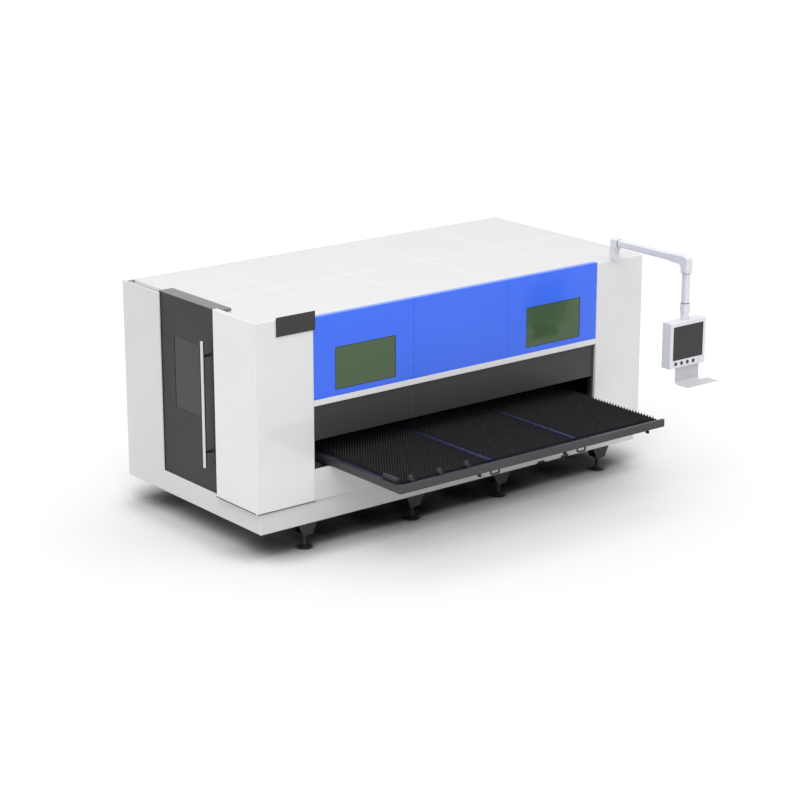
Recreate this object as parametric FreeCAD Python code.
"""Fiber laser cutting machine with a draw-out slat table, a sliding end door and a swinging control arm.

Each function makes one piece, or one group of equal pieces, and the list at the end writes each as a STEP
file. X runs along the front from the left end, Y runs from the front to the back and Z runs up from the
floor. The working origin is the front left corner of the skirt, on the floor. At the end everything moves
together so that the origin is the middle of the floor under the whole machine.
"""
import FreeCAD, Part
import math
import os

V = FreeCAD.Vector

# ---------------------------------------------------------------- Body, mm
BODY_LENGTH = 4400.0      # skirt, end to end
BODY_DEPTH = 2123.0       # skirt, front to back
GROUND_GAP = 235.0        # floor to the skirt's bottom edge
SKIRT_HEIGHT = 194.0
ROOF_HEIGHT = 2068.0      # floor to the roof
LEFT_RISE = 48.0          # the left end stands this much above the roof
REAR_RISE = 12.0          # the left rear panel above the roof
SHEET = 2.0               # sheet metal of all covers
SKIRT_FOLD = 12.0         # depth of the folded skirt and of the rear panels
FRONT_PROUD = 14.0        # front covers in front of the skirt
BLUE_SET_BACK = 5.0       # blue covers behind the white ones
END_PROUD = 37.0          # end covers outside the skirt
EDGE_R = 8.0              # outer bend radius of the covers
LEFT_COVER = 569.0        # skirt's left end to the inner edge of the left front cover
RIGHT_COVER = 546.0       # the same at the right end
BLUE_BOTTOM = 1337.0      # floor to the blue covers
STRIP_HEIGHT = 53.0       # light strip under the blue covers
APRON_TOP = 715.0         # floor to the top of the front apron
ROOF_PANELS = 5           # roof and rear covers along the length
HOSE_NOTCHES = (3154.0, 3453.0)
NOTCH_WIDTH = 95.0
NOTCH_HEIGHT = 22.0

# Windows in the blue covers: inset from the outer edge of its cover, width, sill height and height
WINDOW_LEFT_INSET = 229.0
WINDOW_RIGHT_INSET = 211.0
WINDOW_WIDTH = 662.0
WINDOW_SILL = 1393.0
WINDOW_HEIGHT = 379.0
GLASS_T = 5.0
GLASS_LAP = 15.0

# Black name plate, left bare
PLATE_LEFT = 180.0
PLATE_WIDTH = 400.0
PLATE_BOTTOM = 1967.0
PLATE_HEIGHT = 166.0
PLATE_T = 12.0

# ---------------------------------------------------------------- Welded frame
BASE_TUBE_WIDTH = 150.0
BASE_TUBE_HEIGHT = 180.0
BASE_WALL = 8.0
CROSS_TUBE_WIDTH = 100.0
POST_WIDTH = 100.0
POST_DEPTH = 80.0
POST_WALL = 5.0
ROOF_BAR = 60.0
ROOF_BAR_WALL = 4.0
ROOF_FOLD = 36.0          # depth of a roof cover
BEAM_WIDTH = 150.0        # side beams that carry the gantry
BEAM_HEIGHT = 150.0
BEAM_BOTTOM = 1020.0

# ---------------------------------------------------------------- Feet
FOOT_X = (506.0, 1703.0, 2728.0, 3982.0)
FOOT_INSET = 66.0         # foot centre from the front and rear edges
PAD_R = 60.0
PAD_HEIGHT = 30.0
STUD_R = 18.0
NUT_ACROSS = 55.0
NUT_HEIGHT = 22.0
BRACKET_TOP_WIDTH = 190.0
BRACKET_FOOT_WIDTH = 100.0
BRACKET_DEPTH = 110.0
BRACKET_DROP = 105.0
BRACKET_PLATE = 14.0

# ---------------------------------------------------------------- Sliding end door
DOOR_FRONT = 614.0        # front edge of the doorway
DOOR_REAR = 1518.0        # rear edge of the doorway
DOOR_T = 35.0
DOOR_GAP = 3.0
DOOR_OVERLAP = 17.0       # door behind the rear cover
DOOR_TRAVEL = 560.0
DOOR_WINDOW_FRONT = 906.0
DOOR_WINDOW_REAR = 1307.0
DOOR_WINDOW_SILL = 1071.0
DOOR_WINDOW_HEIGHT = 660.0
CAP_WIDTH = 146.0
CAP_HEIGHT = 25.0
CAP_BELOW_LEFT = 20.0     # cap's top under the left end's top
TRACK_WIDTH = 56.0
TRACK_HEIGHT = 36.0
TRACK_WALL = 3.0
TRACK_SET_IN = 45.0       # end frame behind the door's outer face
FLOOR_BAR_T = 6.0
FLOOR_BAR_HEIGHT = 33.0
HANDLE_R = 17.0
HANDLE_FROM_EDGE = 152.0  # bar behind the door's front edge
HANDLE_STAND_OFF = 61.0
HANDLE_BOTTOM = 660.0
HANDLE_LENGTH = 1146.0
HANDLE_POST_R = 11.0
HANDLE_POST_INSET = 138.0
GLIDE_LENGTH = 90.0
GLIDE_INSET = 60.0

# ---------------------------------------------------------------- Lifting front door
LIFT_BOTTOM = 968.0
LIFT_HEIGHT = 332.0
LIFT_T = 23.0
LIFT_UP = 300.0
LIFT_DOWN = 140.0
GUIDE_WALL = 3.0
GUIDE_LIP = 17.0
SLIDE_GAP = 0.5

# ---------------------------------------------------------------- Draw-out table
TABLE_LEFT = 730.0
TABLE_LENGTH = 3076.0
TABLE_DEPTH = 1640.0
TABLE_OUT = 1000.0        # table front in front of the skirt, as drawn out
TABLE_TRAVEL = 940.0
RAIL_BOTTOM = 722.0
RAIL_HEIGHT = 69.0
RAIL_WIDTH = 30.0
SIDE_RAIL_DROPS = (10.0, 28.0)  # tops of the left and right rails under the tops of the end rails
RAIL_WALL = 4.0
CARRIER_WIDTH = 40.0
CARRIER_HEIGHT = 48.0
CARRIER_DROP = 13.0       # carrier top under the rail top
CROSS_RISE = 22.0         # tubes between the slat fields above the other carriers
SLAT_T = 4.0
SLAT_PITCH = 38.0
TOOTH_PITCH = 28.3
TOOTH_HEIGHT = 29.0
SLAT_BODY = 41.0          # slat under its teeth
TEETH_ABOVE_RAIL = 24.0
SLAT_BARE = 6.0           # slat length without teeth, at its two ends
SLAT_CLEAR = 7.0          # first slat behind the front carrier
TABLE_THIRDS = 3
STOP_OFFSETS = (162.0, 470.0, 772.0)
STOP_WIDTH = 38.0
STOP_HEIGHT = 68.0
STOP_STEP = 12.0          # upper half of a stop to the left of its lower half
FENCE_LENGTH = 190.0
FENCE_WIDTH = 30.0
FENCE_HEIGHT = 48.0
FENCE_BACK = 96.0
BUMPER_OFFSETS = (879.0, 1868.0, 2881.0)
BUMPER_R = 14.0
BUMPER_LENGTH = 24.0
PULL_OFFSETS = (1043.0, 2052.0)
PULL_WIDTH = 105.0
PULL_DROP = 38.0
PULL_BAR = 12.0
PULL_CORNER = 6.0         # inner corner radius of a pull handle

# ---------------------------------------------------------------- Linear guides
LINEAR_RAIL_WIDTH = 34.0
LINEAR_RAIL_HEIGHT = 26.0
BLOCK_WIDTH = 80.0
BLOCK_LENGTH = 110.0
BLOCK_FIT = 0.05
BLOCK_LAP = 18.0          # block skirt beside its rail
RUNNER_WIDTH = 60.0
BLOCK_HEIGHT = 62.0
GANTRY_BLOCK_HEIGHT = 44.0

# ---------------------------------------------------------------- Gantry, carriage and head
GANTRY_HOME = 660.0       # beam centre along X
GANTRY_TRAVEL = 3050.0
GANTRY_WIDTH = 180.0
GANTRY_HEIGHT = 200.0
GANTRY_WALL = 12.0
GANTRY_END_GAP = 13.0
RIB = 20.0
CARRIAGE_HOME = 1750.0    # carriage centre along Y
CARRIAGE_TRAVEL = 1430.0
CARRIAGE_WIDTH = 200.0
CARRIAGE_T = 40.0
CARRIAGE_HEIGHT = 260.0
HEAD_SIZE = 90.0
HEAD_TOP = 1500.0
HEAD_BODY_BOTTOM = 1050.0
HEAD_BARREL_R = 30.0
NOZZLE_TOP = 940.0
NOZZLE_TIP = 880.0
NOZZLE_TIP_R = 4.0
HEAD_UP = 120.0
HEAD_DOWN = 55.0

# ---------------------------------------------------------------- Inside equipment
TRAY_GAP = 14.0
TRAY_HEIGHT = 215.0
TRAY_SHEET = 3.0
LASER_WIDTH = 470.0
LASER_DEPTH = 600.0
LASER_HEIGHT = 600.0
LASER_FROM_FRONT = 500.0
FUME_R = 100.0
FUME_LENGTH = 90.0
FUME_FLANGE_R = 130.0
FUME_FLANGE_T = 4.0
FUME_HEIGHT = 800.0

# ---------------------------------------------------------------- Control arm
ARM_X = 4070.0            # swivel axis
ARM_POST_WIDTH = 76.0
ARM_POST_DEPTH = 64.0
ARM_POST_HEIGHT = 113.0
ARM_OVERHANG = 26.0       # post in front of the front covers
ARM_REACH = 942.0         # swivel axis to the drop tube's axis
ARM_TUBE = 66.0
ARM_TUBE_R = 12.0
ARM_TUBE_WALL = 4.0
ARM_HOUSING = 80.0
HOUSING_BACK = 30.0       # housing behind the swivel axis
HOUSING_FRONT = 64.0      # and in front of it
ARM_HOUSING_HEIGHT = 88.0
ARM_TUBE_TOP_GAP = 2.0
PIVOT_R = 20.0
PIVOT_HEIGHT = 40.0
PIVOT_FIT = 0.05
ELBOW_WIDTH = 80.0
ELBOW_BEFORE = 175.0      # elbow's start before the drop tube's axis
ELBOW_OVER = 8.0
ELBOW_DROP = 157.0
ELBOW_BEND = 42.0
DROP_TUBE = 60.0
DROP_LENGTH = 285.0
COLLAR_SIZE = 70.0
COLLAR_HEIGHT = 80.0
SWIVEL_SIZE = 64.0
SWIVEL_HEIGHT = 70.0
TURN_GAP = 0.3

# ---------------------------------------------------------------- Control box
BOX_WIDTH = 447.0
BOX_HEIGHT = 430.0
BOX_DEPTH = 112.0
BOX_WALL = 3.0
BOX_FRONT_WALL = 10.0
BOX_R = 7.0
SCREEN_WIDTH = 375.0
SCREEN_HEIGHT = 313.0
SCREEN_TOP_MARGIN = 40.0
SCREEN_T = 6.0
BUTTON_R = 15.0
BUTTON_FIRST = 72.0       # first button's centre from the box's left side
BUTTON_PITCH = 74.6
BUTTON_COUNT = 4
BUTTON_UP = 42.0          # button centre above the box's bottom
BUTTON_PROUD = 8.0
BUTTON_TRAVEL = 4.0
BUTTON_GAP = 0.3
SLOT_FROM_LEFT = 368.0
SLOT_UPS = (31.0, 53.0)
SLOT_WIDTH = 22.0
SLOT_HEIGHT = 7.0
SIDE_GRIP_UP = 172.0
SIDE_GRIP_HEIGHT = 122.0
SIDE_GRIP_PROUD = 22.0
SHELF_LEFT = 104.0        # tray's left edge from the box's left side
SHELF_NECK = 298.0
SHELF_WIDTH = 390.0
SHELF_DROP = 160.0
SHELF_BEND = 34.0
SHELF_SHEET = 4.0
SHELF_REACH = 168.0
SHELF_SET_BACK = 31.0     # neck behind the box's front face

# ---------------------------------------------------------------- Places worked out from the sizes above
SHELL_BOTTOM = GROUND_GAP + SKIRT_HEIGHT
LEFT_TOP = ROOF_HEIGHT + LEFT_RISE
FRONT_FACE = -FRONT_PROUD
LEFT_FACE = -END_PROUD
RIGHT_FACE = BODY_LENGTH + END_PROUD
FRAME_FRONT = SKIRT_FOLD
FRAME_REAR = BODY_DEPTH - SKIRT_FOLD
FRAME_LEFT = SKIRT_FOLD
FRAME_RIGHT = BODY_LENGTH - SKIRT_FOLD
BASE_TOP = GROUND_GAP + BASE_TUBE_HEIGHT
OPENING_LEFT = LEFT_COVER
OPENING_RIGHT = BODY_LENGTH - RIGHT_COVER
BLUE_WIDTH = (OPENING_RIGHT - OPENING_LEFT) / 3
STRIP_BOTTOM = BLUE_BOTTOM - STRIP_HEIGHT
FRAME_TOP = ROOF_HEIGHT - ROOF_FOLD
ROOF_BAR_BOTTOM = FRAME_TOP - ROOF_BAR
PANEL_LENGTH = BODY_LENGTH / ROOF_PANELS
ROOF_SEAM_Y = BODY_DEPTH / 2

DOOR_FACE = SKIRT_FOLD + DOOR_GAP
DOOR_BACK = DOOR_FACE + DOOR_T
DOOR_Y0 = DOOR_FRONT + DOOR_GAP
DOOR_Y1 = DOOR_REAR + DOOR_OVERLAP
DOOR_Z0 = SHELL_BOTTOM + DOOR_GAP
CAP_TOP = LEFT_TOP - CAP_BELOW_LEFT
DOOR_Z1 = CAP_TOP - CAP_HEIGHT
END_FRAME_X = DOOR_FACE + TRACK_SET_IN
TRACK_X1 = END_FRAME_X + TRACK_WIDTH
ROOF_NOTCH_X = TRACK_X1 + 4.0
ROOF_NOTCH_Y = DOOR_FRONT - 20.0
FLOOR_BAR_X = DOOR_FACE + DOOR_T / 2
HANDLE_X = DOOR_FACE - HANDLE_STAND_OFF
HANDLE_Y = DOOR_Y0 + HANDLE_FROM_EDGE
HANDLE_POST_Z = (HANDLE_BOTTOM + HANDLE_POST_INSET, HANDLE_BOTTOM + HANDLE_LENGTH - HANDLE_POST_INSET)

POST_X = (FRAME_LEFT, OPENING_LEFT - POST_WIDTH, OPENING_RIGHT, FRAME_RIGHT - POST_WIDTH)
BEAM_TOP = BEAM_BOTTOM + BEAM_HEIGHT
FRONT_BEAM_Y = FRAME_FRONT + POST_DEPTH
REAR_BEAM_Y = FRAME_REAR - POST_DEPTH - BEAM_WIDTH
GANTRY_RAIL_YS = (FRONT_BEAM_Y + BEAM_WIDTH / 2, REAR_BEAM_Y + BEAM_WIDTH / 2)

LIFT_FACE = FRAME_FRONT + GUIDE_WALL + SLIDE_GAP
LIFT_BACK = LIFT_FACE + LIFT_T
LIFT_LEFT = OPENING_LEFT + GUIDE_WALL + SLIDE_GAP
LIFT_RIGHT = OPENING_RIGHT - GUIDE_WALL - SLIDE_GAP
GUIDE_TOP = LIFT_BOTTOM + LIFT_HEIGHT + LIFT_UP + 50.0

TABLE_RIGHT = TABLE_LEFT + TABLE_LENGTH
TABLE_Y0 = -TABLE_OUT
TABLE_Y1 = TABLE_Y0 + TABLE_DEPTH
RAIL_TOP = RAIL_BOTTOM + RAIL_HEIGHT
CARRIER_TOP = RAIL_TOP - CARRIER_DROP
CARRIER_BOTTOM = CARRIER_TOP - CARRIER_HEIGHT
TOOTH_TOP = RAIL_TOP + TEETH_ABOVE_RAIL
SLAT_BOTTOM = TOOTH_TOP - TOOTH_HEIGHT - SLAT_BODY
CARRIER_XS = [TABLE_LEFT + RAIL_WIDTH
              + i * (TABLE_LENGTH - 2 * RAIL_WIDTH - CARRIER_WIDTH) / TABLE_THIRDS
              for i in range(TABLE_THIRDS + 1)]
TABLE_GUIDE_XS = (TABLE_LEFT + RAIL_WIDTH / 2, TABLE_RIGHT - RAIL_WIDTH / 2)
RUNNER_TOP = RAIL_BOTTOM - BLOCK_HEIGHT - (LINEAR_RAIL_HEIGHT - BLOCK_LAP)
TABLE_GUIDE_TOP = RUNNER_TOP + LINEAR_RAIL_HEIGHT
TABLE_BLOCK_YS = (90.0, TABLE_Y1 - RAIL_WIDTH - BLOCK_LENGTH)

GANTRY_Z0 = BEAM_TOP + LINEAR_RAIL_HEIGHT - BLOCK_LAP + GANTRY_BLOCK_HEIGHT
GANTRY_Z1 = GANTRY_Z0 + GANTRY_HEIGHT
GANTRY_X0 = GANTRY_HOME - GANTRY_WIDTH / 2
GANTRY_X1 = GANTRY_HOME + GANTRY_WIDTH / 2
GANTRY_Y0 = FRAME_FRONT + POST_DEPTH + GANTRY_END_GAP
GANTRY_Y1 = FRAME_REAR - POST_DEPTH - GANTRY_END_GAP
RIB_ZS = (GANTRY_Z0 + 30.0, GANTRY_Z1 - 30.0 - RIB)
CARRIAGE_X0 = GANTRY_X1 + TURN_GAP
CARRIAGE_X1 = CARRIAGE_X0 + CARRIAGE_T
HEAD_X0 = CARRIAGE_X1 + TURN_GAP
HEAD_X = HEAD_X0 + HEAD_SIZE / 2

ARM_Y = FRONT_FACE - ARM_OVERHANG + ARM_POST_DEPTH / 2
POST_TOP = ROOF_HEIGHT + ARM_POST_HEIGHT
HOUSING_Z0 = POST_TOP + TURN_GAP
HOUSING_Z1 = HOUSING_Z0 + ARM_HOUSING_HEIGHT
TUBE_Z1 = HOUSING_Z1 - ARM_TUBE_TOP_GAP
TUBE_Z0 = TUBE_Z1 - ARM_TUBE
DROP_Y = ARM_Y - ARM_REACH
ELBOW_Z1 = TUBE_Z1 + ELBOW_OVER
ELBOW_Z0 = ELBOW_Z1 - ELBOW_DROP
DROP_Z0 = ELBOW_Z0 - DROP_LENGTH
COLLAR_Z0 = DROP_Z0 - COLLAR_HEIGHT
SWIVEL_Z1 = COLLAR_Z0 - TURN_GAP
BOX_Z1 = SWIVEL_Z1 - SWIVEL_HEIGHT
BOX_Z0 = BOX_Z1 - BOX_HEIGHT
BOX_X0 = ARM_X - BOX_WIDTH / 2
BOX_X1 = ARM_X + BOX_WIDTH / 2
BOX_Y0 = DROP_Y - BOX_DEPTH / 2
BOX_Y1 = DROP_Y + BOX_DEPTH / 2
BUTTON_XS = [BOX_X0 + BUTTON_FIRST + i * BUTTON_PITCH for i in range(BUTTON_COUNT)]
BUTTON_Z = BOX_Z0 + BUTTON_UP
SHELF_X0 = BOX_X0 + SHELF_LEFT
SHELF_Y = BOX_Y0 + SHELF_SET_BACK
SHELF_Z = BOX_Z0 - SHELF_DROP


# ---------------------------------------------------------------- Shared shapes
def block(x0, x1, y0, y1, z0, z1):
    """A plain block between two corners."""
    return Part.makeBox(x1 - x0, y1 - y0, z1 - z0, V(x0, y0, z0))


def rod(x, y, z, direction, radius, length):
    """A round rod that starts at a point and runs along a direction."""
    return Part.makeCylinder(radius, length, V(x, y, z), V(*direction))


def face_edges(shape, axis, level):
    """The edges that lie in the plane where one coordinate has a given value."""
    found = []
    for edge in shape.Edges:
        if all(abs(vertex.Point[axis] - level) < 0.01 for vertex in edge.Vertexes):
            found.append(edge)
    return found


def upright_edges(shape, axis):
    """The straight edges that run along one axis."""
    found = []
    for edge in shape.Edges:
        ends = [vertex.Point for vertex in edge.Vertexes]
        across = [i for i in range(3) if i != axis]
        if len(ends) == 2 and all(abs(ends[0][i] - ends[1][i]) < 0.01 for i in across):
            found.append(edge)
    return found


def pan(x, y, z, opening, wall=SHEET, bend=EDGE_R):
    """A cover folded from sheet: a shallow tray with a rounded face, open on the side away from it.

    x, y and z are pairs of limits. The opening is an axis and a direction, such as (1, 1) for +Y.
    """
    axis, way = opening
    limits = [list(x), list(y), list(z)]
    face = limits[axis][0] if way > 0 else limits[axis][1]
    outer = block(*limits[0], *limits[1], *limits[2])
    outer = outer.makeFillet(bend, face_edges(outer, axis, face))
    inner_limits = [[low + wall, high - wall] for low, high in limits]
    inner_limits[axis][1 if way > 0 else 0] = limits[axis][1 if way > 0 else 0] + way * bend
    inner = block(*inner_limits[0], *inner_limits[1], *inner_limits[2])
    inner = inner.makeFillet(bend - wall, face_edges(inner, axis, face + way * wall))
    return outer.cut(inner)


def tube(x, y, z, axis, wall):
    """A rectangular tube, open at both ends along one axis."""
    limits = [list(x), list(y), list(z)]
    hollow = [[low + wall, high - wall] for low, high in limits]
    hollow[axis] = [limits[axis][0] - wall, limits[axis][1] + wall]
    return block(*limits[0], *limits[1], *limits[2]).cut(block(*hollow[0], *hollow[1], *hollow[2]))


def rounded_bar(x, y, z, axis, radius):
    """A square bar whose long edges are rounded."""
    bar = block(*x, *y, *z)
    return bar.makeFillet(radius, upright_edges(bar, axis))


def group(solids):
    """Several separate solids that share one node."""
    return solids[0] if len(solids) == 1 else Part.makeCompound(solids)


def around(centre, size):
    """The two limits of a size laid evenly about a centre."""
    return (centre - size / 2, centre + size / 2)


# ---------------------------------------------------------------- Frame and feet
def base_frame():
    """Two long tubes, the cross tubes between them and the two runners that carry the table's guides."""
    z = (GROUND_GAP, BASE_TOP)
    front = (FRAME_FRONT, FRAME_FRONT + BASE_TUBE_WIDTH)
    rear = (FRAME_REAR - BASE_TUBE_WIDTH, FRAME_REAR)
    solids = [tube((FRAME_LEFT, FRAME_RIGHT), y, z, 0, BASE_WALL) for y in (front, rear)]
    inner_step = (OPENING_RIGHT - OPENING_LEFT) / 3
    starts = [FRAME_LEFT, FRAME_RIGHT - CROSS_TUBE_WIDTH]
    starts += [OPENING_LEFT - CROSS_TUBE_WIDTH / 2 + i * inner_step for i in range(4)]
    for x in starts:
        solids.append(tube((x, x + CROSS_TUBE_WIDTH), (front[1], rear[0]), z, 1, BASE_WALL))
    for x in TABLE_GUIDE_XS:
        solids.append(tube(around(x, RUNNER_WIDTH), (FRAME_FRONT, FRAME_REAR), (BASE_TOP, RUNNER_TOP),
                           1, BASE_WALL))
    return group(solids)


def frame_posts():
    """Eight square posts, four along the front and four along the rear."""
    solids = []
    for y0 in (FRAME_FRONT, FRAME_REAR - POST_DEPTH):
        for x0 in POST_X:
            behind_door = x0 == FRAME_LEFT and y0 > DOOR_FRONT
            x = END_FRAME_X if behind_door else x0
            solids.append(tube((x, x + POST_WIDTH), (y0, y0 + POST_DEPTH), (BASE_TOP, ROOF_BAR_BOTTOM),
                               2, POST_WALL))
    return group(solids)


def gantry_side_beams():
    """Two long beams inside the posts that carry the gantry's rails."""
    x = (OPENING_LEFT - POST_WIDTH, OPENING_RIGHT + POST_WIDTH)
    return group([tube(x, (y, y + BEAM_WIDTH), (BEAM_BOTTOM, BEAM_TOP), 0, BASE_WALL)
                  for y in (FRONT_BEAM_Y, REAR_BEAM_Y)])


def roof_bars():
    """Three long bars and the short bars between them, under the roof covers."""
    z = (ROOF_BAR_BOTTOM, FRAME_TOP)
    ys = [FRAME_FRONT, ROOF_SEAM_Y - ROOF_BAR / 2, FRAME_REAR - ROOF_BAR]
    solids = [tube((END_FRAME_X, FRAME_RIGHT), (y, y + ROOF_BAR), z, 0, ROOF_BAR_WALL) for y in ys]
    xs = [END_FRAME_X, FRAME_RIGHT - ROOF_BAR]
    xs += [i * PANEL_LENGTH - ROOF_BAR / 2 for i in range(1, ROOF_PANELS)]
    for x in xs:
        for y0, y1 in ((ys[0], ys[1]), (ys[1], ys[2])):
            solids.append(tube((x, x + ROOF_BAR), (y0 + ROOF_BAR, y1), z, 1, ROOF_BAR_WALL))
    return group(solids)


def linear_rails():
    """Four machined rails: two along the side beams and two along the runners."""
    solids = []
    x = (OPENING_LEFT - POST_WIDTH / 2, OPENING_RIGHT + POST_WIDTH / 2)
    for y in GANTRY_RAIL_YS:
        solids.append(block(*x, *around(y, LINEAR_RAIL_WIDTH), BEAM_TOP, BEAM_TOP + LINEAR_RAIL_HEIGHT))
    for x in TABLE_GUIDE_XS:
        solids.append(block(*around(x, LINEAR_RAIL_WIDTH), FRAME_FRONT, TABLE_Y1 + TABLE_TRAVEL + 60.0,
                            RUNNER_TOP, TABLE_GUIDE_TOP))
    return group(solids)


def foot_places():
    """Centres of the eight feet."""
    return [(x, y) for y in (FOOT_INSET, BODY_DEPTH - FOOT_INSET) for x in FOOT_X]


def foot_brackets():
    """A welded bracket under the frame at each foot: a top plate, two sloping cheeks and a foot plate."""
    solids = []
    z1 = GROUND_GAP
    z0 = GROUND_GAP - BRACKET_DROP
    for x, y in foot_places():
        outline = [V(x - BRACKET_TOP_WIDTH / 2, 0, z1), V(x + BRACKET_TOP_WIDTH / 2, 0, z1),
                   V(x + BRACKET_TOP_WIDTH / 2, 0, z1 - BRACKET_PLATE),
                   V(x + BRACKET_FOOT_WIDTH / 2, 0, z0), V(x - BRACKET_FOOT_WIDTH / 2, 0, z0),
                   V(x - BRACKET_TOP_WIDTH / 2, 0, z1 - BRACKET_PLATE)]
        outer = Part.Face(Part.makePolygon(outline + outline[:1])).extrude(V(0, BRACKET_DEPTH, 0))
        outer.translate(V(0, y - BRACKET_DEPTH / 2, 0))
        bay = block(x - BRACKET_TOP_WIDTH, x + BRACKET_TOP_WIDTH,
                    y - BRACKET_DEPTH / 2 + BRACKET_PLATE, y + BRACKET_DEPTH / 2 - BRACKET_PLATE,
                    z0 + BRACKET_PLATE, z1 - BRACKET_PLATE)
        hole = rod(x, y, z0 - 1, (0, 0, 1), STUD_R + 0.5, BRACKET_PLATE + 2)
        solids.append(outer.cut(bay).cut(hole))
    return group(solids)


def foot_studs():
    """Threaded studs between the pads and the brackets."""
    top = GROUND_GAP - BRACKET_PLATE - 12.0
    return group([rod(x, y, PAD_HEIGHT / 2, (0, 0, 1), STUD_R, top - PAD_HEIGHT / 2)
                  for x, y in foot_places()])


def hex_nut(x, y, z):
    """One hexagon nut around a stud."""
    corner = NUT_ACROSS / math.sqrt(3)
    points = [V(x + corner * math.cos(math.radians(60 * i)), y + corner * math.sin(math.radians(60 * i)), z)
              for i in range(7)]
    nut = Part.Face(Part.makePolygon(points)).extrude(V(0, 0, NUT_HEIGHT))
    return nut.cut(rod(x, y, z - 1, (0, 0, 1), STUD_R + 0.05, NUT_HEIGHT + 2))


def foot_locknuts():
    """Two nuts on each stud, above and below the bracket's foot plate."""
    z0 = GROUND_GAP - BRACKET_DROP
    solids = []
    for x, y in foot_places():
        solids.append(hex_nut(x, y, z0 - NUT_HEIGHT))
        solids.append(hex_nut(x, y, z0 + BRACKET_PLATE))
    return group(solids)


def foot_pads():
    """Round levelling pads with a coned top and a socket for the stud."""
    solids = []
    for x, y in foot_places():
        disc = rod(x, y, 0, (0, 0, 1), PAD_R, PAD_HEIGHT / 2)
        cone = Part.makeCone(PAD_R - 6, STUD_R + 10, PAD_HEIGHT / 2, V(x, y, PAD_HEIGHT / 2), V(0, 0, 1))
        socket = rod(x, y, PAD_HEIGHT / 2, (0, 0, 1), STUD_R + 0.05, PAD_HEIGHT)
        solids.append(disc.fuse(cone).cut(socket))
    return group(solids)


# ---------------------------------------------------------------- Covers
def skirt_panels():
    """Folded skirt round the base: front, left, right and rear. The left one stops at the rear cover."""
    z = (GROUND_GAP, SHELL_BOTTOM)
    bend = 5.0
    front = pan((0, BODY_LENGTH), (0, SKIRT_FOLD), z, (1, 1), bend=bend)
    for x in HOSE_NOTCHES:
        front = front.cut(block(x, x + NOTCH_WIDTH, -1, SKIRT_FOLD + 1, GROUND_GAP - 1,
                                GROUND_GAP + NOTCH_HEIGHT))
    left = pan((0, SKIRT_FOLD), (SKIRT_FOLD, DOOR_REAR), z, (0, 1), bend=bend)
    right = pan((FRAME_RIGHT, BODY_LENGTH), (SKIRT_FOLD, BODY_DEPTH), z, (0, -1), bend=bend)
    rear = pan((FRAME_LEFT, FRAME_RIGHT), (FRAME_REAR, BODY_DEPTH), z, (1, -1), bend=bend)
    return group([front, left, right, rear])


def front_apron():
    """White cover below the table opening."""
    return pan((OPENING_LEFT, OPENING_RIGHT), (FRONT_FACE, FRAME_FRONT), (SHELL_BOTTOM, APRON_TOP), (1, 1))


def front_left_panel():
    """Tall cover at the left of the front."""
    return pan((LEFT_FACE, OPENING_LEFT), (FRONT_FACE, FRAME_FRONT), (SHELL_BOTTOM, LEFT_TOP), (1, 1))


def front_right_panel():
    """Tall cover at the right of the front."""
    return pan((OPENING_RIGHT, RIGHT_FACE), (FRONT_FACE, FRAME_FRONT), (SHELL_BOTTOM, ROOF_HEIGHT), (1, 1))


def left_front_panel():
    """End cover between the front corner and the sliding door."""
    return pan((LEFT_FACE, FRAME_LEFT), (FRAME_FRONT, DOOR_FRONT), (SHELL_BOTTOM, LEFT_TOP), (0, 1))


def left_rear_panel():
    """End cover behind the sliding door, down to the skirt's bottom edge."""
    return pan((0, SKIRT_FOLD), (DOOR_REAR, BODY_DEPTH), (GROUND_GAP, ROOF_HEIGHT + REAR_RISE), (0, 1))


def right_end_panels():
    """Three deep covers on the right end."""
    step = (BODY_DEPTH - FRAME_FRONT) / 3
    return group([pan((FRAME_RIGHT, RIGHT_FACE), (FRAME_FRONT + i * step, FRAME_FRONT + (i + 1) * step),
                      (SHELL_BOTTOM, ROOF_HEIGHT), (0, -1)) for i in range(3)])


def panel_limits(i):
    """Limits along X of one roof or rear cover."""
    x0 = FRAME_LEFT if i == 0 else i * PANEL_LENGTH
    x1 = FRAME_RIGHT if i == ROOF_PANELS - 1 else (i + 1) * PANEL_LENGTH
    return (x0, x1)


def rear_panels():
    """Flat covers on the back. The middle one has the hole for the fume outlet."""
    solids = []
    middle = ROOF_PANELS // 2
    for i in range(ROOF_PANELS):
        cover = pan(panel_limits(i), (FRAME_REAR, BODY_DEPTH), (SHELL_BOTTOM, ROOF_HEIGHT), (1, -1), bend=5.0)
        if i == middle:
            cover = cover.cut(rod(fume_x(), FRAME_REAR - 1, FUME_HEIGHT, (0, 1, 0), FUME_R - 4,
                                  SKIRT_FOLD + 2))
        solids.append(cover)
    return group(solids)


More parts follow.
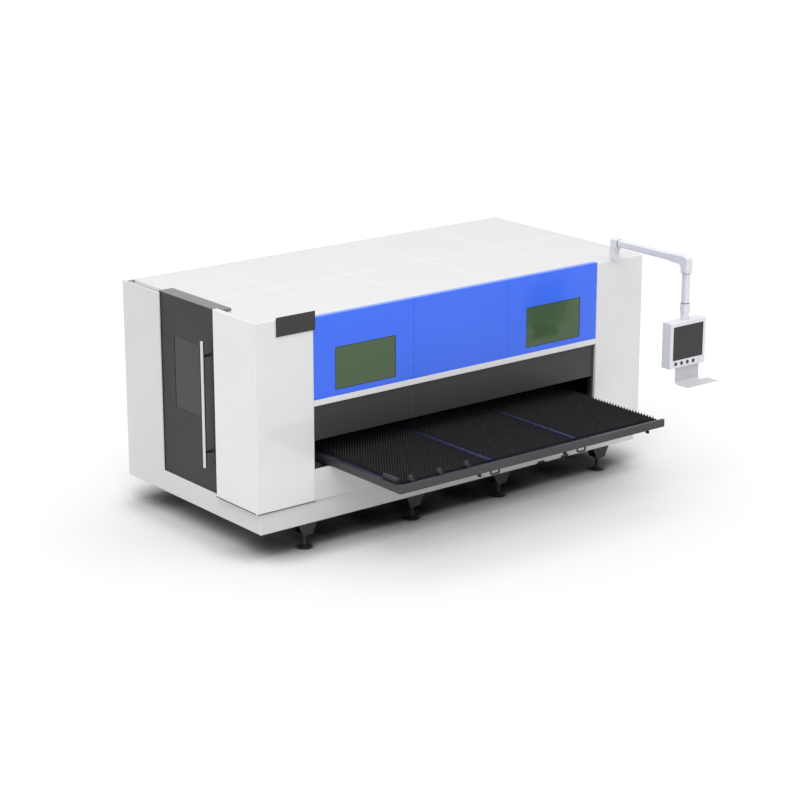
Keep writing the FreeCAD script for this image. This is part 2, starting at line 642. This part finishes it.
def roof_panels():
    """Two rows of roof covers. The first is notched for the door's track and the one behind stops at it."""
    solids = []
    z = (FRAME_TOP, ROOF_HEIGHT)
    bend = 5.0
    for i in range(ROOF_PANELS):
        x0, x1 = panel_limits(i)
        if i == 0:
            notched = pan((x0, x1), (FRAME_FRONT, ROOF_SEAM_Y), z, (2, -1), bend=bend)
            notch = block(x0 - 1, ROOF_NOTCH_X, ROOF_NOTCH_Y, ROOF_SEAM_Y + 1, z[0] - 1, z[1] + 1)
            lining = pan((ROOF_NOTCH_X, x1), (ROOF_NOTCH_Y, ROOF_SEAM_Y), z, (2, -1), bend=bend)
            front = pan((x0, x1), (FRAME_FRONT, ROOF_NOTCH_Y), z, (2, -1), bend=bend)
            solids.append(notched.cut(notch).fuse([lining, front]).removeSplitter())
            x0 = ROOF_NOTCH_X
        else:
            solids.append(pan((x0, x1), (FRAME_FRONT, ROOF_SEAM_Y), z, (2, -1), bend=bend))
        solids.append(pan((x0, x1), (ROOF_SEAM_Y, FRAME_REAR), z, (2, -1), bend=bend))
    return group(solids)


def window_spans():
    """Limits along X of the two windows."""
    left = OPENING_LEFT + WINDOW_LEFT_INSET
    right = OPENING_RIGHT - WINDOW_RIGHT_INSET
    return ((left, left + WINDOW_WIDTH), (right - WINDOW_WIDTH, right))


def blue_panel(i):
    """One of three blue covers. The outer two have a window opening."""
    x0 = OPENING_LEFT + i * BLUE_WIDTH
    y0 = FRONT_FACE + BLUE_SET_BACK
    cover = pan((x0, x0 + BLUE_WIDTH), (y0, FRAME_FRONT), (BLUE_BOTTOM, ROOF_HEIGHT), (1, 1), bend=6.0)
    for low, high in window_spans():
        if x0 < low < x0 + BLUE_WIDTH:
            cover = cover.cut(block(low, high, y0 - 1, y0 + SHEET + 1, WINDOW_SILL,
                                    WINDOW_SILL + WINDOW_HEIGHT))
    return cover


def viewing_windows():
    """Laser-safe glass behind the two openings in the blue covers."""
    y = FRONT_FACE + BLUE_SET_BACK + SHEET
    return group([block(low - GLASS_LAP, high + GLASS_LAP, y, y + GLASS_T, WINDOW_SILL - GLASS_LAP,
                        WINDOW_SILL + WINDOW_HEIGHT + GLASS_LAP) for low, high in window_spans()])


def front_strip():
    """Light strip under the blue covers."""
    return pan((OPENING_LEFT, OPENING_RIGHT), (FRONT_FACE, FRAME_FRONT), (STRIP_BOTTOM, BLUE_BOTTOM), (1, 1),
               bend=5.0)


def sign_plate():
    """Bare black plate at the top of the left front cover."""
    plate = block(PLATE_LEFT, PLATE_LEFT + PLATE_WIDTH, FRONT_FACE - PLATE_T, FRONT_FACE, PLATE_BOTTOM,
                  PLATE_BOTTOM + PLATE_HEIGHT)
    return plate.makeFillet(2.0, face_edges(plate, 1, FRONT_FACE - PLATE_T))


def fume_x():
    """Centre of the fume outlet along X: the middle of the middle rear cover."""
    return sum(panel_limits(ROOF_PANELS // 2)) / 2


def fume_outlet():
    """Flanged collar for the extraction hose."""
    x = fume_x()
    flange = rod(x, BODY_DEPTH, FUME_HEIGHT, (0, 1, 0), FUME_FLANGE_R, FUME_FLANGE_T)
    collar = rod(x, BODY_DEPTH, FUME_HEIGHT, (0, 1, 0), FUME_R, FUME_LENGTH)
    bore = rod(x, BODY_DEPTH - 1, FUME_HEIGHT, (0, 1, 0), FUME_R - 4, FUME_LENGTH + 2)
    return flange.fuse(collar).cut(bore)


# ---------------------------------------------------------------- Sliding end door
def side_door_tracks():
    """Top channel above the roof edge and the flat bar that steadies the door's foot."""
    x = (END_FRAME_X, TRACK_X1)
    y = (DOOR_Y0 + 16.0, FRAME_REAR - 16.0)
    z = (FRAME_TOP, FRAME_TOP + TRACK_HEIGHT)
    channel = block(*x, *y, *z)
    channel = channel.cut(block(x[0] + TRACK_WALL, x[1] - TRACK_WALL, y[0] - 1, y[1] + 1,
                                z[0] + TRACK_WALL, z[1] + 1))
    bar = block(*around(FLOOR_BAR_X, FLOOR_BAR_T), *y, BASE_TOP, BASE_TOP + FLOOR_BAR_HEIGHT)
    return group([channel, bar])


def side_door_panel():
    """Folded door leaf with a window opening and a groove in its foot for the floor bar."""
    leaf = pan((DOOR_FACE, DOOR_BACK), (DOOR_Y0, DOOR_Y1), (DOOR_Z0, DOOR_Z1), (0, 1), bend=5.0)
    window = block(DOOR_FACE - 1, DOOR_FACE + SHEET + 1, DOOR_WINDOW_FRONT, DOOR_WINDOW_REAR,
                   DOOR_WINDOW_SILL, DOOR_WINDOW_SILL + DOOR_WINDOW_HEIGHT)
    groove = block(*around(FLOOR_BAR_X, FLOOR_BAR_T + 2 * SLIDE_GAP), DOOR_Y0 - 1, DOOR_Y1 + 1,
                   DOOR_Z0 - 1, BASE_TOP + FLOOR_BAR_HEIGHT + DOOR_GAP)
    return leaf.cut(window).cut(groove)


def side_door_window():
    """Dark glass behind the opening in the door."""
    x = DOOR_FACE + SHEET
    return block(x, x + GLASS_T, DOOR_WINDOW_FRONT - GLASS_LAP, DOOR_WINDOW_REAR + GLASS_LAP,
                 DOOR_WINDOW_SILL - GLASS_LAP, DOOR_WINDOW_SILL + DOOR_WINDOW_HEIGHT + GLASS_LAP)


def side_door_cap():
    """Grey cap over the door's top edge and its track."""
    return pan((DOOR_FACE, DOOR_FACE + CAP_WIDTH), (DOOR_Y0, DOOR_Y1), (DOOR_Z1, CAP_TOP), (2, -1), bend=5.0)


def side_door_glides():
    """Two plastic glides in the top channel, each with a stem up to the cap."""
    x = (END_FRAME_X + TRACK_WALL + SLIDE_GAP, TRACK_X1 - TRACK_WALL - SLIDE_GAP)
    z0 = FRAME_TOP + TRACK_WALL + SLIDE_GAP
    shoe_top = FRAME_TOP + TRACK_HEIGHT - 6.0
    solids = []
    for y in (DOOR_Y0 + GLIDE_INSET + GLIDE_LENGTH / 2, DOOR_Y1 - GLIDE_INSET - GLIDE_LENGTH / 2):
        shoe = block(*x, *around(y, GLIDE_LENGTH), z0, shoe_top)
        stem = block(*around(sum(x) / 2, 20.0), *around(y, 50.0), shoe_top, CAP_TOP - SHEET)
        solids.append(shoe.fuse(stem))
    return group(solids)


def side_door_handle():
    """Long round pull bar on the door."""
    bar = rod(HANDLE_X, HANDLE_Y, HANDLE_BOTTOM, (0, 0, 1), HANDLE_R, HANDLE_LENGTH)
    ends = [edge for edge in bar.Edges if abs(edge.BoundBox.ZLength) < 0.01]
    return bar.makeChamfer(2.0, ends)


def handle_posts():
    """Two round posts, hollowed at the end to fit the pull bar."""
    bar = rod(HANDLE_X, HANDLE_Y, HANDLE_BOTTOM, (0, 0, 1), HANDLE_R, HANDLE_LENGTH)
    return group([rod(HANDLE_X, HANDLE_Y, z, (1, 0, 0), HANDLE_POST_R, HANDLE_STAND_OFF).cut(bar)
                  for z in HANDLE_POST_Z])


# ---------------------------------------------------------------- Lifting front door
def lift_door():
    """Three dark leaves that rise and fall as one behind the blue covers."""
    xs = [LIFT_LEFT, OPENING_LEFT + BLUE_WIDTH, OPENING_LEFT + 2 * BLUE_WIDTH, LIFT_RIGHT]
    return group([pan((xs[i], xs[i + 1]), (LIFT_FACE, LIFT_BACK), (LIFT_BOTTOM, LIFT_BOTTOM + LIFT_HEIGHT),
                      (1, 1), bend=3.0) for i in range(3)])


def lift_door_guides():
    """Two upright channels that hold the ends of the lifting door."""
    y = (FRAME_FRONT, LIFT_BACK + SLIDE_GAP + GUIDE_WALL)
    solids = []
    for x, way in ((OPENING_LEFT, 1), (OPENING_RIGHT, -1)):
        lip = x + way * (GUIDE_WALL + GUIDE_LIP)
        web = x + way * GUIDE_WALL
        outer = block(min(x, lip), max(x, lip), *y, APRON_TOP, GUIDE_TOP)
        slot = block(min(web, lip + way), max(web, lip + way), y[0] + GUIDE_WALL, y[1] - GUIDE_WALL,
                     APRON_TOP - 1, GUIDE_TOP + 1)
        solids.append(outer.cut(slot))
    return group(solids)


# ---------------------------------------------------------------- Draw-out table
def table_side_rails():
    """Left and right rails of the table frame, lower than the end rails."""
    y = (TABLE_Y0 + RAIL_WIDTH, TABLE_Y1 - RAIL_WIDTH)
    return group([tube((x, x + RAIL_WIDTH), y, (RAIL_BOTTOM, RAIL_TOP - drop), 1, RAIL_WALL)
                  for x, drop in zip((TABLE_LEFT, TABLE_RIGHT - RAIL_WIDTH), SIDE_RAIL_DROPS)])


def table_end_rails():
    """Front and rear rails of the table frame, over the full length."""
    return group([tube((TABLE_LEFT, TABLE_RIGHT), (y, y + RAIL_WIDTH), (RAIL_BOTTOM, RAIL_TOP), 0, RAIL_WALL)
                  for y in (TABLE_Y0, TABLE_Y1 - RAIL_WIDTH)])


def slat_carriers():
    """Inner frame that holds the slats: front and rear tubes and the four tubes across.

    The two tubes between the slat fields stand higher. The last one is low, so that the slats reach over it.
    """
    y0 = TABLE_Y0 + RAIL_WIDTH
    y1 = TABLE_Y1 - RAIL_WIDTH
    x = (TABLE_LEFT + RAIL_WIDTH, TABLE_RIGHT - RAIL_WIDTH)
    solids = [tube(x, (y, y + CARRIER_WIDTH), (CARRIER_BOTTOM, CARRIER_TOP), 0, RAIL_WALL)
              for y in (y0, y1 - CARRIER_WIDTH)]
    between = CARRIER_TOP + CROSS_RISE
    for x0, top in zip(CARRIER_XS, (CARRIER_TOP, between, between, SLAT_BOTTOM)):
        solids.append(tube((x0, x0 + CARRIER_WIDTH), (y0 + CARRIER_WIDTH, y1 - CARRIER_WIDTH),
                           (CARRIER_BOTTOM, top), 1, RAIL_WALL))
    return group(solids)


def slat(x0, x1, y):
    """One saw-toothed slat, with a short length without teeth at each end."""
    valley = TOOTH_TOP - TOOTH_HEIGHT
    start = x0 + SLAT_BARE
    teeth = int((x1 - SLAT_BARE - start) // TOOTH_PITCH)
    points = [V(x0, y, SLAT_BOTTOM), V(x1, y, SLAT_BOTTOM), V(x1, y, valley)]
    for i in range(teeth, 0, -1):
        left = start + (i - 1) * TOOTH_PITCH
        points += [V(left + TOOTH_PITCH * 0.84, y, valley), V(left + TOOTH_PITCH * 0.56, y, TOOTH_TOP),
                   V(left + TOOTH_PITCH * 0.44, y, TOOTH_TOP), V(left + TOOTH_PITCH * 0.16, y, valley)]
    points += [V(x0, y, valley), V(x0, y, SLAT_BOTTOM)]
    return Part.Face(Part.makePolygon(points)).extrude(V(0, SLAT_T, 0))


def slats():
    """Rows of slats in three fields."""
    solids = []
    first = TABLE_Y0 + RAIL_WIDTH + CARRIER_WIDTH + SLAT_CLEAR
    last = TABLE_Y1 - RAIL_WIDTH - CARRIER_WIDTH - SLAT_T
    rows = int((last - first) // SLAT_PITCH) + 1
    for field in range(TABLE_THIRDS):
        x0 = CARRIER_XS[field] + CARRIER_WIDTH
        x1 = TABLE_RIGHT - RAIL_WIDTH if field == TABLE_THIRDS - 1 else CARRIER_XS[field + 1]
        for row in range(rows):
            solids.append(slat(x0, x1, first + row * SLAT_PITCH))
    return group(solids)


def table_stops():
    """Three stepped sheet stops on the front carrier and the long fence on the left one."""
    y0 = TABLE_Y0 + RAIL_WIDTH
    middle = CARRIER_TOP + STOP_HEIGHT / 2
    solids = []
    for offset in STOP_OFFSETS:
        x = TABLE_LEFT + offset
        lower = block(*around(x, STOP_WIDTH), y0 + 6.0, y0 + CARRIER_WIDTH, CARRIER_TOP, middle)
        upper = block(*around(x - STOP_STEP, STOP_WIDTH), y0 + 18.0, y0 + CARRIER_WIDTH, middle,
                      CARRIER_TOP + STOP_HEIGHT)
        solids.append(lower.fuse(upper))
    fence_x = around(CARRIER_XS[0] + CARRIER_WIDTH / 2, FENCE_WIDTH)
    fence_y = TABLE_Y0 + FENCE_BACK
    solids.append(block(*fence_x, fence_y, fence_y + FENCE_LENGTH, CARRIER_TOP, CARRIER_TOP + FENCE_HEIGHT))
    return group(solids)


def pull_handles():
    """Two round-cornered loops under the front rail."""
    solids = []
    for offset in PULL_OFFSETS:
        x = around(TABLE_LEFT + offset, PULL_WIDTH)
        loop = block(*x, TABLE_Y0, TABLE_Y0 + PULL_BAR, RAIL_BOTTOM - PULL_DROP, RAIL_BOTTOM)
        corners = [edge for edge in upright_edges(loop, 1)
                   if abs(edge.Vertexes[0].Point[2] - (RAIL_BOTTOM - PULL_DROP)) < 0.01]
        loop = loop.makeFillet(PULL_CORNER + PULL_BAR, corners)
        gap = block(x[0] + PULL_BAR, x[1] - PULL_BAR, TABLE_Y0 - 1, TABLE_Y0 + PULL_BAR + 1,
                    RAIL_BOTTOM - PULL_DROP + PULL_BAR, RAIL_BOTTOM + 1)
        corners = [edge for edge in upright_edges(gap, 1)
                   if abs(edge.Vertexes[0].Point[2] - (RAIL_BOTTOM - PULL_DROP + PULL_BAR)) < 0.01]
        solids.append(loop.cut(gap.makeFillet(PULL_CORNER, corners)))
    return group(solids)


def table_bumpers():
    """Three rubber buffers under the front rail that meet the apron when the table is in."""
    z = RAIL_BOTTOM - BUMPER_R - 6.0
    solids = []
    for offset in BUMPER_OFFSETS:
        x = TABLE_LEFT + offset
        buffer = rod(x, TABLE_Y0 + 6.0, z, (0, 1, 0), BUMPER_R, BUMPER_LENGTH)
        hanger = block(*around(x, 16.0), TABLE_Y0 + 6.0, TABLE_Y0 + 14.0, z, RAIL_BOTTOM)
        solids.append(buffer.fuse(hanger))
    return group(solids)


def guide_block(x, y, z1, height, along):
    """One guide block that straddles a rail running along X (0) or Y (1)."""
    size = (BLOCK_LENGTH, BLOCK_WIDTH) if along == 0 else (BLOCK_WIDTH, BLOCK_LENGTH)
    body = block(*around(x, size[0]), *around(y, size[1]), z1 - height, z1)
    slot = LINEAR_RAIL_WIDTH + 2 * BLOCK_FIT
    slot_size = (BLOCK_LENGTH + 2, slot) if along == 0 else (slot, BLOCK_LENGTH + 2)
    top = z1 - height + BLOCK_LAP + BLOCK_FIT
    return body.cut(block(*around(x, slot_size[0]), *around(y, slot_size[1]), z1 - height - 1, top))


def table_guide_blocks():
    """Four guide blocks under the rear part of the table."""
    solids = []
    for x in TABLE_GUIDE_XS:
        for y in TABLE_BLOCK_YS:
            solids.append(guide_block(x, y + BLOCK_LENGTH / 2, RAIL_BOTTOM, BLOCK_HEIGHT, 1))
    return group(solids)


# ---------------------------------------------------------------- Gantry, carriage and head
def gantry_beam():
    """Hollow beam across the machine with two guide ribs on its right face."""
    beam = tube((GANTRY_X0, GANTRY_X1), (GANTRY_Y0, GANTRY_Y1), (GANTRY_Z0, GANTRY_Z1), 1, GANTRY_WALL)
    ribs = [block(GANTRY_X1, GANTRY_X1 + RIB, GANTRY_Y0, GANTRY_Y1, z, z + RIB) for z in RIB_ZS]
    return beam.fuse(ribs)


def gantry_blocks():
    """Guide blocks under the two ends of the gantry beam."""
    return group([guide_block(GANTRY_HOME, y, GANTRY_Z0, GANTRY_BLOCK_HEIGHT, 0) for y in GANTRY_RAIL_YS])


def gantry_carriage():
    """Plate that runs on the beam's ribs, with an upright rib for the head."""
    z0 = GANTRY_Z0 - 10.0
    y = around(CARRIAGE_HOME, CARRIAGE_WIDTH)
    plate = block(CARRIAGE_X0, CARRIAGE_X1, *y, z0, z0 + CARRIAGE_HEIGHT)
    for z in RIB_ZS:
        plate = plate.cut(block(CARRIAGE_X0 - 1, GANTRY_X1 + RIB + TURN_GAP, y[0] - 1, y[1] + 1,
                                z - TURN_GAP, z + RIB + TURN_GAP))
    rib = block(CARRIAGE_X1, CARRIAGE_X1 + RIB / 2, *around(CARRIAGE_HOME, RIB), z0, z0 + CARRIAGE_HEIGHT)
    return plate.fuse(rib)


def cutting_head():
    """Head body, barrel and coned nozzle, with a groove for the carriage's rib."""
    y = around(CARRIAGE_HOME, HEAD_SIZE)
    body = block(HEAD_X0, HEAD_X0 + HEAD_SIZE, *y, HEAD_BODY_BOTTOM, HEAD_TOP)
    body = body.makeFillet(6.0, upright_edges(body, 2))
    groove = block(HEAD_X0 - 1, CARRIAGE_X1 + RIB / 2 + TURN_GAP, *around(CARRIAGE_HOME, RIB + 2 * TURN_GAP),
                   HEAD_BODY_BOTTOM - 1, HEAD_TOP + 1)
    barrel = rod(HEAD_X, CARRIAGE_HOME, NOZZLE_TOP, (0, 0, 1), HEAD_BARREL_R, HEAD_BODY_BOTTOM - NOZZLE_TOP)
    nozzle = Part.makeCone(NOZZLE_TIP_R, HEAD_BARREL_R - 8.0, NOZZLE_TOP - NOZZLE_TIP,
                           V(HEAD_X, CARRIAGE_HOME, NOZZLE_TIP), V(0, 0, 1))
    return body.cut(groove).fuse([barrel, nozzle])


# ---------------------------------------------------------------- Inside equipment
def tray_spans():
    """Limits along X of the three scrap trays between the runners."""
    x0 = TABLE_GUIDE_XS[0] + RUNNER_WIDTH / 2 + TRAY_GAP
    x1 = TABLE_GUIDE_XS[1] - RUNNER_WIDTH / 2 - TRAY_GAP
    width = (x1 - x0 - 2 * TRAY_GAP) / 3
    return [(x0 + i * (width + TRAY_GAP), x0 + i * (width + TRAY_GAP) + width) for i in range(3)]


def scrap_trays():
    """Three open trays that stand on the base frame under the table."""
    y = (FRAME_FRONT + BASE_TUBE_WIDTH + TRAY_GAP, FRAME_REAR - BASE_TUBE_WIDTH - TRAY_GAP)
    return group([pan(x, y, (BASE_TOP, BASE_TOP + TRAY_HEIGHT), (2, 1), wall=TRAY_SHEET, bend=6.0)
                  for x in tray_spans()])


def laser_source():
    """Closed cabinet that holds the fibre laser, in the right end of the machine."""
    x0 = OPENING_RIGHT + 6.0
    y = (LASER_FROM_FRONT, LASER_FROM_FRONT + LASER_DEPTH)
    cabinet = block(x0, x0 + LASER_WIDTH, *y, BASE_TOP, BASE_TOP + LASER_HEIGHT)
    hollow = block(x0 + 3, x0 + LASER_WIDTH - 3, y[0] + 3, y[1] - 3, BASE_TOP + 3, BASE_TOP + LASER_HEIGHT - 3)
    return cabinet.cut(hollow)


# ---------------------------------------------------------------- Control arm
def arm_post():
    """Post on the right front cover, with the pin that the arm turns on."""
    post = rounded_bar(around(ARM_X, ARM_POST_WIDTH), around(ARM_Y, ARM_POST_DEPTH),
                       (ROOF_HEIGHT, POST_TOP), 2, 6.0)
    return post.fuse(rod(ARM_X, ARM_Y, POST_TOP, (0, 0, 1), PIVOT_R, PIVOT_HEIGHT))


def arm_housing():
    """Cast housing that turns on the post's pin."""
    body = rounded_bar(around(ARM_X, ARM_HOUSING), (ARM_Y - HOUSING_FRONT, ARM_Y + HOUSING_BACK),
                       (HOUSING_Z0, HOUSING_Z1), 2, 18.0)
    body = body.makeFillet(6.0, face_edges(body, 2, HOUSING_Z1))
    return body.cut(rod(ARM_X, ARM_Y, HOUSING_Z0 - 1, (0, 0, 1), PIVOT_R + PIVOT_FIT,
                        PIVOT_HEIGHT + 2))


def arm_elbow():
    """Cast elbow: a round-cornered L that takes the arm tube at one end and the drop tube at the other."""
    y_start = DROP_Y + ELBOW_BEFORE
    y_out = DROP_Y - ELBOW_WIDTH / 2
    y_in = DROP_Y + ELBOW_WIDTH / 2
    z_in = ELBOW_Z1 - ELBOW_WIDTH
    outline = Part.makePolygon([V(0, y_start, ELBOW_Z1), V(0, y_out, ELBOW_Z1), V(0, y_out, ELBOW_Z0),
                                V(0, y_in, ELBOW_Z0), V(0, y_in, z_in), V(0, y_start, z_in),
                                V(0, y_start, ELBOW_Z1)])
    body = Part.Face(outline).extrude(V(ELBOW_WIDTH, 0, 0))
    body.translate(V(ARM_X - ELBOW_WIDTH / 2, 0, 0))
    corners = []
    for edge in upright_edges(body, 0):
        point = edge.Vertexes[0].Point
        outer = abs(point[1] - y_out) < 0.01 and abs(point[2] - ELBOW_Z1) < 0.01
        inner = abs(point[1] - y_in) < 0.01 and abs(point[2] - z_in) < 0.01
        if outer or inner:
            corners.append(edge)
    body = body.makeFillet(ELBOW_BEND, corners)
    sides = []
    for x in around(ARM_X, ELBOW_WIDTH):
        for edge in face_edges(body, 0, x):
            low = edge.BoundBox
            at_mouth = low.YLength < 0.01 and abs(low.YMin - y_start) < 0.01
            at_foot = low.ZLength < 0.01 and abs(low.ZMin - ELBOW_Z0) < 0.01
            if not (at_mouth or at_foot):
                sides.append(edge)
    return body.makeFillet(9.0, sides)


def arm_collar():
    """Cast collar at the drop tube's foot, bored for the swivel's pin."""
    body = rounded_bar(around(ARM_X, COLLAR_SIZE), around(DROP_Y, COLLAR_SIZE), (COLLAR_Z0, DROP_Z0), 2, 12.0)
    return body.cut(rod(ARM_X, DROP_Y, COLLAR_Z0 - 1, (0, 0, 1), PIVOT_R + PIVOT_FIT, PIVOT_HEIGHT + 2))


def arm_castings():
    """Housing, elbow and collar."""
    return group([arm_housing(), arm_elbow(), arm_collar()])


def arm_tube():
    """Horizontal tube between the housing and the elbow."""
    y = (DROP_Y + ELBOW_BEFORE, ARM_Y - HOUSING_FRONT)
    outer = rounded_bar(around(ARM_X, ARM_TUBE), y, (TUBE_Z0, TUBE_Z1), 1, ARM_TUBE_R)
    size = ARM_TUBE - 2 * ARM_TUBE_WALL
    inner = rounded_bar(around(ARM_X, size), (y[0] - 1, y[1] + 1),
                        (TUBE_Z0 + ARM_TUBE_WALL, TUBE_Z1 - ARM_TUBE_WALL), 1, ARM_TUBE_R - ARM_TUBE_WALL)
    return outer.cut(inner)


def arm_drop_tube():
    """Upright tube between the elbow and the collar."""
    outer = rounded_bar(around(ARM_X, DROP_TUBE), around(DROP_Y, DROP_TUBE), (DROP_Z0, ELBOW_Z0), 2,
                        ARM_TUBE_R)
    size = DROP_TUBE - 2 * ARM_TUBE_WALL
    inner = rounded_bar(around(ARM_X, size), around(DROP_Y, size), (DROP_Z0 - 1, ELBOW_Z0 + 1), 2,
                        ARM_TUBE_R - ARM_TUBE_WALL)
    return outer.cut(inner)


def box_swivel():
    """Swivel on top of the control box, with its pin up into the collar."""
    body = rounded_bar(around(ARM_X, SWIVEL_SIZE), around(DROP_Y, SWIVEL_SIZE), (BOX_Z1, SWIVEL_Z1), 2, 14.0)
    return body.fuse(rod(ARM_X, DROP_Y, SWIVEL_Z1, (0, 0, 1), PIVOT_R, PIVOT_HEIGHT))


# ---------------------------------------------------------------- Control box
def control_box():
    """Sealed box with a screen recess, button holes, two socket slots and a grip on its right side."""
    body = block(BOX_X0, BOX_X1, BOX_Y0, BOX_Y1, BOX_Z0, BOX_Z1)
    body = body.makeFillet(BOX_R, body.Edges)
    grip = block(BOX_X1 - BOX_WALL, BOX_X1 + SIDE_GRIP_PROUD, DROP_Y - 25.0, DROP_Y + 25.0,
                 BOX_Z0 + SIDE_GRIP_UP, BOX_Z0 + SIDE_GRIP_UP + SIDE_GRIP_HEIGHT)
    grip = grip.makeFillet(8.0, face_edges(grip, 0, BOX_X1 + SIDE_GRIP_PROUD))
    body = body.fuse(grip)
    body = body.cut(block(BOX_X0 + BOX_WALL, BOX_X1 - BOX_WALL, BOX_Y0 + BOX_FRONT_WALL, BOX_Y1 - BOX_WALL,
                          BOX_Z0 + BOX_WALL, BOX_Z1 - BOX_WALL))
    body = body.cut(screen_block())
    for x in BUTTON_XS:
        body = body.cut(rod(x, BOX_Y0 - 1, BUTTON_Z, (0, 1, 0), BUTTON_R + BUTTON_GAP, BOX_FRONT_WALL + 2))
    for up in SLOT_UPS:
        x = BOX_X0 + SLOT_FROM_LEFT
        body = body.cut(block(*around(x, SLOT_WIDTH), BOX_Y0 - 1, BOX_Y0 + 5.0,
                              *around(BOX_Z0 + up, SLOT_HEIGHT)))
    return body


def screen_block():
    """The screen's own block, which is also the recess it sits in."""
    z1 = BOX_Z1 - SCREEN_TOP_MARGIN
    return block(*around(ARM_X, SCREEN_WIDTH), BOX_Y0, BOX_Y0 + SCREEN_T, z1 - SCREEN_HEIGHT, z1)


def button(x):
    """One round push button, domed a little at its face."""
    face = BOX_Y0 - BUTTON_PROUD
    body = rod(x, face, BUTTON_Z, (0, 1, 0), BUTTON_R, BUTTON_PROUD + BOX_FRONT_WALL)
    rim = [edge for edge in body.Edges if edge.BoundBox.YLength < 0.01 and abs(edge.BoundBox.YMin - face) < 0.01]
    return body.makeFillet(2.5, rim)


def keyboard_tray():
    """Bent sheet under the box: a fixing flange, a neck, a round bend and a wider shelf."""
    x = (SHELF_X0, SHELF_X0 + SHELF_NECK)
    y1 = SHELF_Y + SHELF_SHEET
    bend = SHELF_Z + SHELF_BEND
    flange = block(*x, SHELF_Y, SHELF_Y + 45.0, BOX_Z0 - SHELF_SHEET, BOX_Z0)
    neck = block(*x, SHELF_Y, y1, bend, BOX_Z0)
    ring = rod(x[0], y1 - SHELF_BEND, bend, (1, 0, 0), SHELF_BEND, SHELF_NECK)
    ring = ring.cut(rod(x[0] - 1, y1 - SHELF_BEND, bend, (1, 0, 0), SHELF_BEND - SHELF_SHEET, SHELF_NECK + 2))
    ring = ring.common(block(*x, y1 - SHELF_BEND, y1, SHELF_Z, bend))
    shelf = block(SHELF_X0, SHELF_X0 + SHELF_WIDTH, y1 - SHELF_REACH, y1 - SHELF_BEND, SHELF_Z,
                  SHELF_Z + SHELF_SHEET)
    return flange.fuse([neck, ring, shelf]).removeSplitter()


# ---------------------------------------------------------------- Whole machine
PARTS = {
    "base_frame": base_frame(),
    "frame_posts": frame_posts(),
    "gantry_side_beams": gantry_side_beams(),
    "roof_bars": roof_bars(),
    "linear_rails": linear_rails(),
    "foot_brackets": foot_brackets(),
    "foot_studs": foot_studs(),
    "foot_locknuts": foot_locknuts(),
    "foot_pads": foot_pads(),
    "skirt_panels": skirt_panels(),
    "front_apron": front_apron(),
    "front_left_panel": front_left_panel(),
    "front_right_panel": front_right_panel(),
    "left_front_panel": left_front_panel(),
    "left_rear_panel": left_rear_panel(),
    "right_end_panels": right_end_panels(),
    "rear_panels": rear_panels(),
    "roof_panels": roof_panels(),
    "blue_panel_left": blue_panel(0),
    "blue_panel_middle": blue_panel(1),
    "blue_panel_right": blue_panel(2),
    "viewing_windows": viewing_windows(),
    "front_strip": front_strip(),
    "sign_plate": sign_plate(),
    "fume_outlet": fume_outlet(),
    "side_door_tracks": side_door_tracks(),
    "side_door_panel": side_door_panel(),
    "side_door_window": side_door_window(),
    "side_door_cap": side_door_cap(),
    "side_door_glides": side_door_glides(),
    "side_door_handle": side_door_handle(),
    "handle_posts": handle_posts(),
    "lift_door": lift_door(),
    "lift_door_guides": lift_door_guides(),
    "table_side_rails": table_side_rails(),
    "table_end_rails": table_end_rails(),
    "slat_carriers": slat_carriers(),
    "slats": slats(),
    "table_stops": table_stops(),
    "pull_handles": pull_handles(),
    "table_bumpers": table_bumpers(),
    "table_guide_blocks": table_guide_blocks(),
    "gantry_beam": gantry_beam(),
    "gantry_blocks": gantry_blocks(),
    "gantry_carriage": gantry_carriage(),
    "cutting_head": cutting_head(),
    "scrap_trays": scrap_trays(),
    "laser_source": laser_source(),
    "arm_post": arm_post(),
    "arm_castings": arm_castings(),
    "arm_tube": arm_tube(),
    "arm_drop_tube": arm_drop_tube(),
    "box_swivel": box_swivel(),
    "control_box": control_box(),
    "control_screen": screen_block(),
    "keyboard_tray": keyboard_tray(),
}
for number, button_x in enumerate(BUTTON_XS, start=1):
    PARTS[f"button_{number}"] = button(button_x)


def overall_box():
    """The box round every piece."""
    whole = FreeCAD.BoundBox()
    for shape in PARTS.values():
        whole.add(shape.optimalBoundingBox(False))
    return whole


WHOLE = overall_box()
ORIGIN = V(WHOLE.Center.x, WHOLE.Center.y, WHOLE.ZMin)

os.makedirs("parts", exist_ok=True)
for name, shape in PARTS.items():
    placed = shape.translated(-ORIGIN)
    placed.exportStep(f"parts/{name}.step")
    print(name, len(placed.Solids), round(placed.Volume / 1000.0), "cm3", placed.isValid())
print(len(PARTS), "nodes; overall", round(WHOLE.XLength), round(WHOLE.YLength), round(WHOLE.ZLength))
